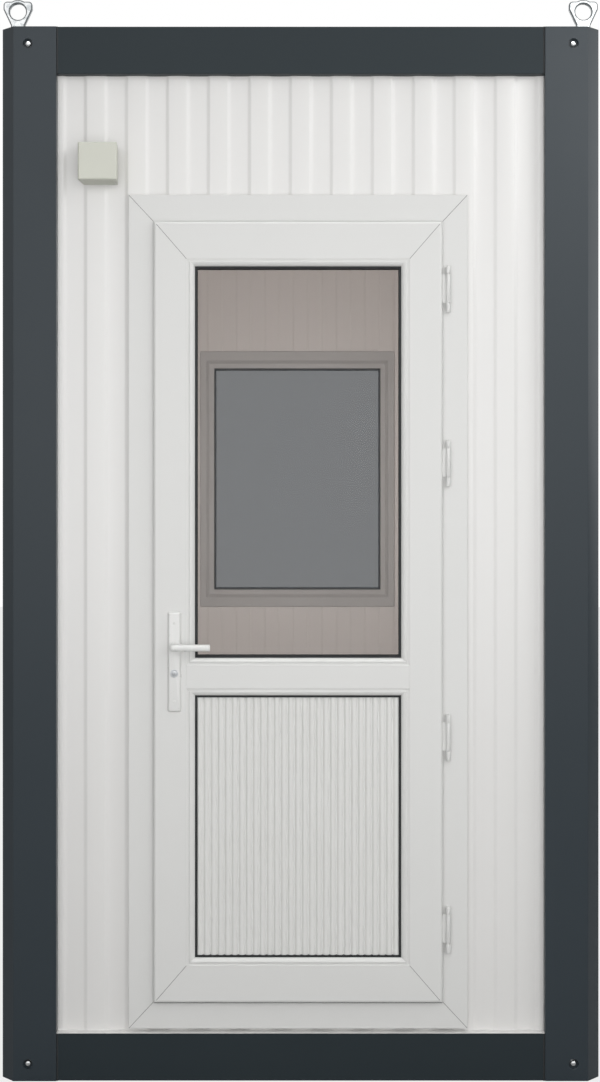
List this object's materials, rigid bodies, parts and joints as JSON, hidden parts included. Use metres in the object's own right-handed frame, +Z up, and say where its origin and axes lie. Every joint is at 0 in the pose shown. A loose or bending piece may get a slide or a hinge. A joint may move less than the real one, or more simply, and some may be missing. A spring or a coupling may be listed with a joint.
{
  "type": "site cabin",
  "caption": "Small steel-framed site cabin with profiled white walls, glazed plastic door with lever handle, back window and lifting eyes on its corner posts.",
  "frame": {"origin": "on the ground, at the centre of the steel frame", "axes": "+Z up, -Y out of the door, +X to the right seen from the front"},
  "size_m": [1.4, 1.2565, 2.533],
  "materials": {
    "frame_paint": "satin",
    "wall_sheet": "satin",
    "door_plastic": "satin",
    "handle_coating": "satin",
    "lock_nickel": "satin",
    "gasket_rubber": "matt",
    "glass": "clear",
    "galvanised_steel": "galvanised",
    "hood_plastic": "matt",
    "floor_covering": "matt"
  },
  "bodies": {
    "cabin": {"corner_post_front_left": "frame_paint", "corner_post_front_right": "frame_paint", "corner_post_back_left": "frame_paint", "corner_post_back_right": "frame_paint", "post_head_plates": "frame_paint", "post_foot_plates": "frame_paint", "top_beam_front": "frame_paint", "top_beam_back": "frame_paint", "top_beam_left": "frame_paint", "top_beam_right": "frame_paint", "bottom_beam_front": "frame_paint", "bottom_beam_back": "frame_paint", "bottom_beam_left": "frame_paint", "bottom_beam_right": "frame_paint", "lifting_eyes": "galvanised_steel", "front_wall_left": "wall_sheet", "front_wall_right": "wall_sheet", "front_wall_head": "wall_sheet", "front_wall_sill": "wall_sheet", "back_wall_left": "wall_sheet", "back_wall_right": "wall_sheet", "back_wall_head": "wall_sheet", "back_wall_sill": "wall_sheet", "left_wall": "wall_sheet", "right_wall": "wall_sheet", "floor_board": "floor_covering", "floor_joists": "galvanised_steel", "underfloor_sheets": "galvanised_steel", "ceiling_panel": "wall_sheet", "roof_sheet": "galvanised_steel", "vent_hood": "hood_plastic", "window_frame": "door_plastic", "window_sash": "door_plastic", "window_gasket": "gasket_rubber", "window_glass": "glass", "door_frame_left": "door_plastic", "door_frame_right": "door_plastic", "door_frame_head": "door_plastic", "door_frame_sill": "door_plastic", "frame_hinges": "door_plastic"},
    "door": {"door_stile_lock": "door_plastic", "door_stile_hinge": "door_plastic", "door_rail_top": "door_plastic", "door_rail_middle": "door_plastic", "door_rail_bottom": "door_plastic", "door_glass": "glass", "door_panel": "door_plastic", "door_gaskets": "gasket_rubber", "door_hinges": "door_plastic", "handle_plates": "handle_coating", "lock_cylinder": "lock_nickel"},
    "lever": {"lever_outside": "handle_coating", "lever_inside": "handle_coating"}
  },
  "joints": [
    {"name": "door_hinge", "type": "hinge", "parent": "cabin", "child": "door", "pos_m": [0.344, -0.6, 1.1], "axis": [0, 0, 1], "range_deg": [0, 170]},
    {"name": "lever_turn", "type": "hinge", "parent": "door", "child": "lever", "pos_m": [-0.2938, -0.604, 1.015], "axis": [0, 1, 0], "range_deg": [0, 40], "stiffness_Nm_per_rad": 1.5, "springref_deg": -14.32}
  ]
}
